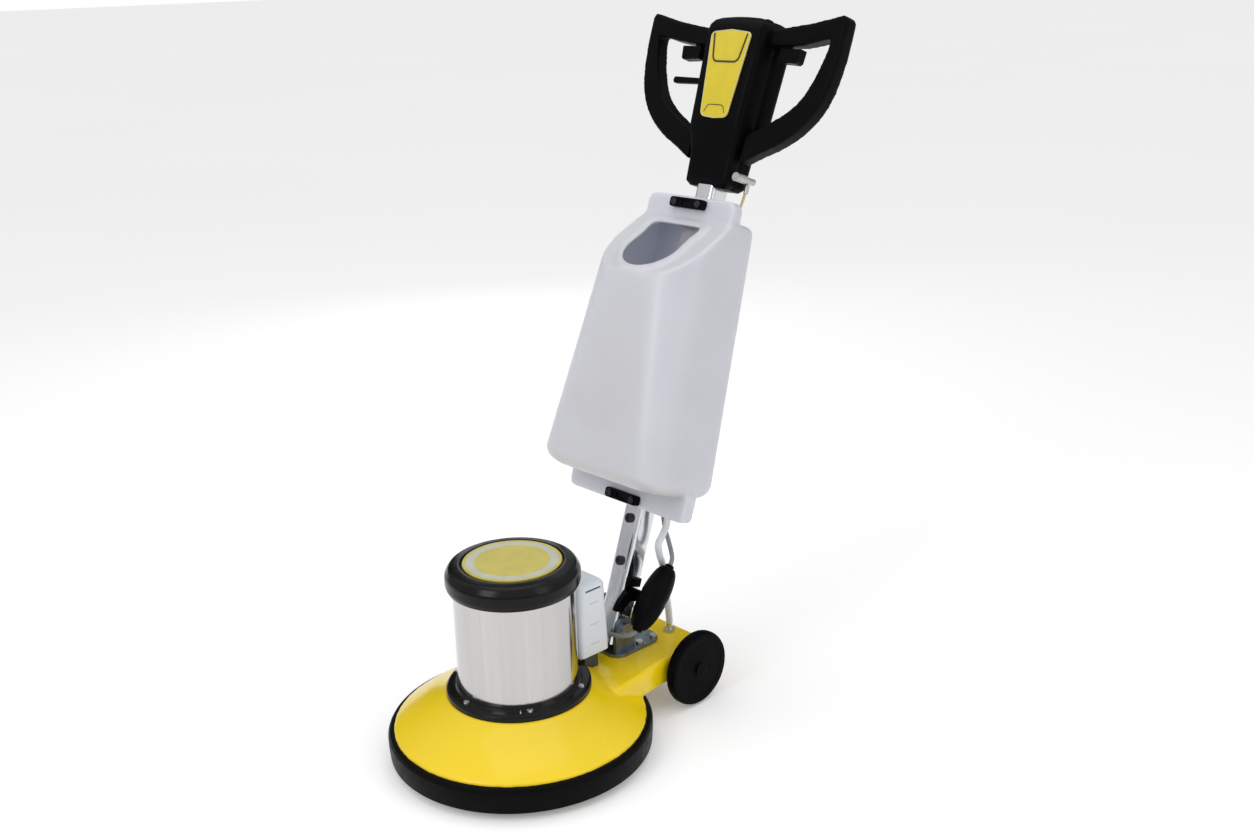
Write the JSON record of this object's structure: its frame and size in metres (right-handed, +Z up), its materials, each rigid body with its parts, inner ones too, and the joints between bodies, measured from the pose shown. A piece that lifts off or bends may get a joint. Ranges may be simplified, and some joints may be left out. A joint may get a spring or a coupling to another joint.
{
  "type": "single-disc floor scrubber",
  "caption": "Upright rotary floor scrubber with a spinning disc brush, tilting handle, saddle-shaped solution tank and twin trigger grips.",
  "frame": {"origin": "brush spin axis where it meets the floor", "axes": "+Z up, -Y to the front, +X to the left of the operator"},
  "size_m": [0.442, 0.8179, 1.1564],
  "materials": {
    "yellow_paint": "gloss enamel on cast aluminium",
    "bumper_rubber": "satin moulded rubber",
    "black_paint": "high gloss",
    "yellow_label": "satin",
    "silver_ring": "satin",
    "stainless": "polished, faint vertical grain",
    "zinc_fasteners": "zinc plated",
    "bracket_steel": "dark plated plate",
    "cast_aluminium": "as cast",
    "laminated_steel": "lacquered laminations",
    "copper_wire": "enamelled copper winding",
    "bearing_steel": "ground",
    "gear_steel": "machined",
    "white_plastic": "moulded, satin",
    "stand_paint": "satin",
    "black_plastic": "fine moulded grain",
    "black_screws": "black oxide",
    "clamp_steel": "satin black",
    "brush_plate": "moulded",
    "nylon_bristle": "nylon filament",
    "wheel_rubber": "satin rubber",
    "chrome_tube": "chrome plated",
    "milky_plastic": "translucent blow moulded polyethylene",
    "adjuster_metal": "satin",
    "yellow_cable": "smooth sheath",
    "lead_sheath": "smooth sheath",
    "connector_rubber": "satin moulded rubber",
    "hose_tube": "milky tube"
  },
  "bodies": {
    "base": {"deck_casting": "yellow_paint", "bumper_ring": "bumper_rubber", "motor_flange": "black_paint", "deck_bolts": "zinc_fasteners", "motor_shell": "stainless", "motor_cap": "black_paint", "cap_plate": "yellow_label", "cap_ring": "silver_ring", "end_bell": "cast_aluminium", "stator_core": "laminated_steel", "stator_windings": "copper_wire", "bearings": "bearing_steel", "gear_housing": "cast_aluminium", "ring_gear": "gear_steel", "capacitor_box": "white_plastic", "run_capacitors": "white_plastic", "box_stand": "stand_paint", "cable_glands": "black_plastic", "wheel_axle": "zinc_fasteners", "hinge_bracket": "bracket_steel", "pivot_pin": "zinc_fasteners", "feed_elbow": "zinc_fasteners", "lower_lead": "lead_sheath"},
    "rotor": {"motor_shaft": "bearing_steel", "rotor_core": "laminated_steel", "cooling_fan": "black_paint"},
    "brush": {"planet_carrier": "gear_steel", "drive_plate": "black_plastic", "brush_block": "brush_plate", "bristles": "nylon_bristle"},
    "planet_1": {"planet_gear_1": "gear_steel"},
    "planet_2": {"planet_gear_2": "gear_steel"},
    "planet_3": {"planet_gear_3": "gear_steel"},
    "left_wheel": {"left_wheel": "wheel_rubber"},
    "right_wheel": {"right_wheel": "wheel_rubber"},
    "handle": {"handle_tube": "chrome_tube", "hinge_knuckle": "cast_aluminium", "tube_screws": "black_screws", "lever_mount": "black_plastic", "tank_shell": "milky_plastic", "tank_outlet": "black_plastic", "tank_clamps": "clamp_steel", "tank_clips": "black_plastic", "clip_screws": "zinc_fasteners", "head_front": "black_plastic", "head_back": "black_plastic", "yellow_panel": "yellow_label", "grip_loops": "black_plastic", "drive_switch": "black_plastic", "cord_inlet": "black_plastic", "cable_adjuster": "adjuster_metal", "pull_cable": "yellow_cable", "power_lead": "lead_sheath", "connector": "connector_rubber", "solution_hose": "hose_tube"},
    "left_trigger": {"left_trigger": "black_plastic"},
    "right_trigger": {"right_trigger": "black_plastic"},
    "solution_lever": {"solution_lever": "black_plastic"},
    "lock_button": {"lock_button": "yellow_label"},
    "release_lever": {"release_lever": "black_plastic"}
  },
  "joints": [
    {"name": "brush_spin", "type": "hinge", "parent": "base", "child": "brush", "pos_m": [0, 0, 0.03], "axis": [0, 0, 1], "continuous": true},
    {"name": "rotor_spin", "type": "hinge", "parent": "base", "child": "rotor", "pos_m": [0, 0, 0.2], "axis": [0, 0, 1], "continuous": true},
    {"name": "planet_1_spin", "type": "hinge", "parent": "brush", "child": "planet_1", "pos_m": [0.03562, 0, 0.091], "axis": [0, 0, 1], "continuous": true},
    {"name": "planet_2_spin", "type": "hinge", "parent": "brush", "child": "planet_2", "pos_m": [-0.01781, 0.03085, 0.091], "axis": [0, 0, 1], "continuous": true},
    {"name": "planet_3_spin", "type": "hinge", "parent": "brush", "child": "planet_3", "pos_m": [-0.01781, -0.03085, 0.091], "axis": [0, 0, 1], "continuous": true},
    {"name": "left_wheel_spin", "type": "hinge", "parent": "base", "child": "left_wheel", "pos_m": [0.114, 0.304, 0.0695], "axis": [1, 0, 0], "continuous": true},
    {"name": "right_wheel_spin", "type": "hinge", "parent": "base", "child": "right_wheel", "pos_m": [-0.114, 0.304, 0.0695], "axis": [1, 0, 0], "continuous": true},
    {"name": "handle_tilt", "type": "hinge", "parent": "base", "child": "handle", "pos_m": [0, 0.217, 0.145], "axis": [-1, 0, 0], "range_deg": [-19.6, 40], "deforming": ["solution_hose", "lower_lead"]},
    {"name": "left_trigger_press", "type": "hinge", "parent": "handle", "child": "left_trigger", "pos_m": [0.098, 0.556, 1.10596], "axis": [0, -0.9421, 0.3355], "range_deg": [0, 7], "stiffness_Nm_per_rad": 1.5, "springref_deg": -6.88},
    {"name": "right_trigger_press", "type": "hinge", "parent": "handle", "child": "right_trigger", "pos_m": [-0.098, 0.556, 1.10596], "axis": [0, 0.9421, -0.3355], "range_deg": [0, 7], "stiffness_Nm_per_rad": 1.5, "springref_deg": -6.88},
    {"name": "solution_lever_pull", "type": "hinge", "parent": "handle", "child": "solution_lever", "pos_m": [-0.068, 0.53547, 1.04534], "axis": [0, 0.9421, -0.3355], "range_deg": [0, 18], "stiffness_Nm_per_rad": 1, "springref_deg": -6.88},
    {"name": "lock_button_press", "type": "slide", "parent": "handle", "child": "lock_button", "axis": [0, -0.9421, 0.3355], "range_m": [0, 0.004], "stiffness_N_per_m": 400, "springref_m": -0.002},
    {"name": "release_lever_press", "type": "hinge", "parent": "handle", "child": "release_lever", "pos_m": [0.0274, 0.24062, 0.2024], "axis": [1, 0, 0], "range_deg": [0, 12], "stiffness_Nm_per_rad": 1.5, "springref_deg": -6.88}
  ],
  "couplings": [
    {"joint": "rotor_spin", "follows": "brush_spin", "ratio": 9.5},
    {"joint": "planet_1_spin", "follows": "brush_spin", "ratio": -2.2667},
    {"joint": "planet_2_spin", "follows": "brush_spin", "ratio": -2.2667},
    {"joint": "planet_3_spin", "follows": "brush_spin", "ratio": -2.2667}
  ]
}
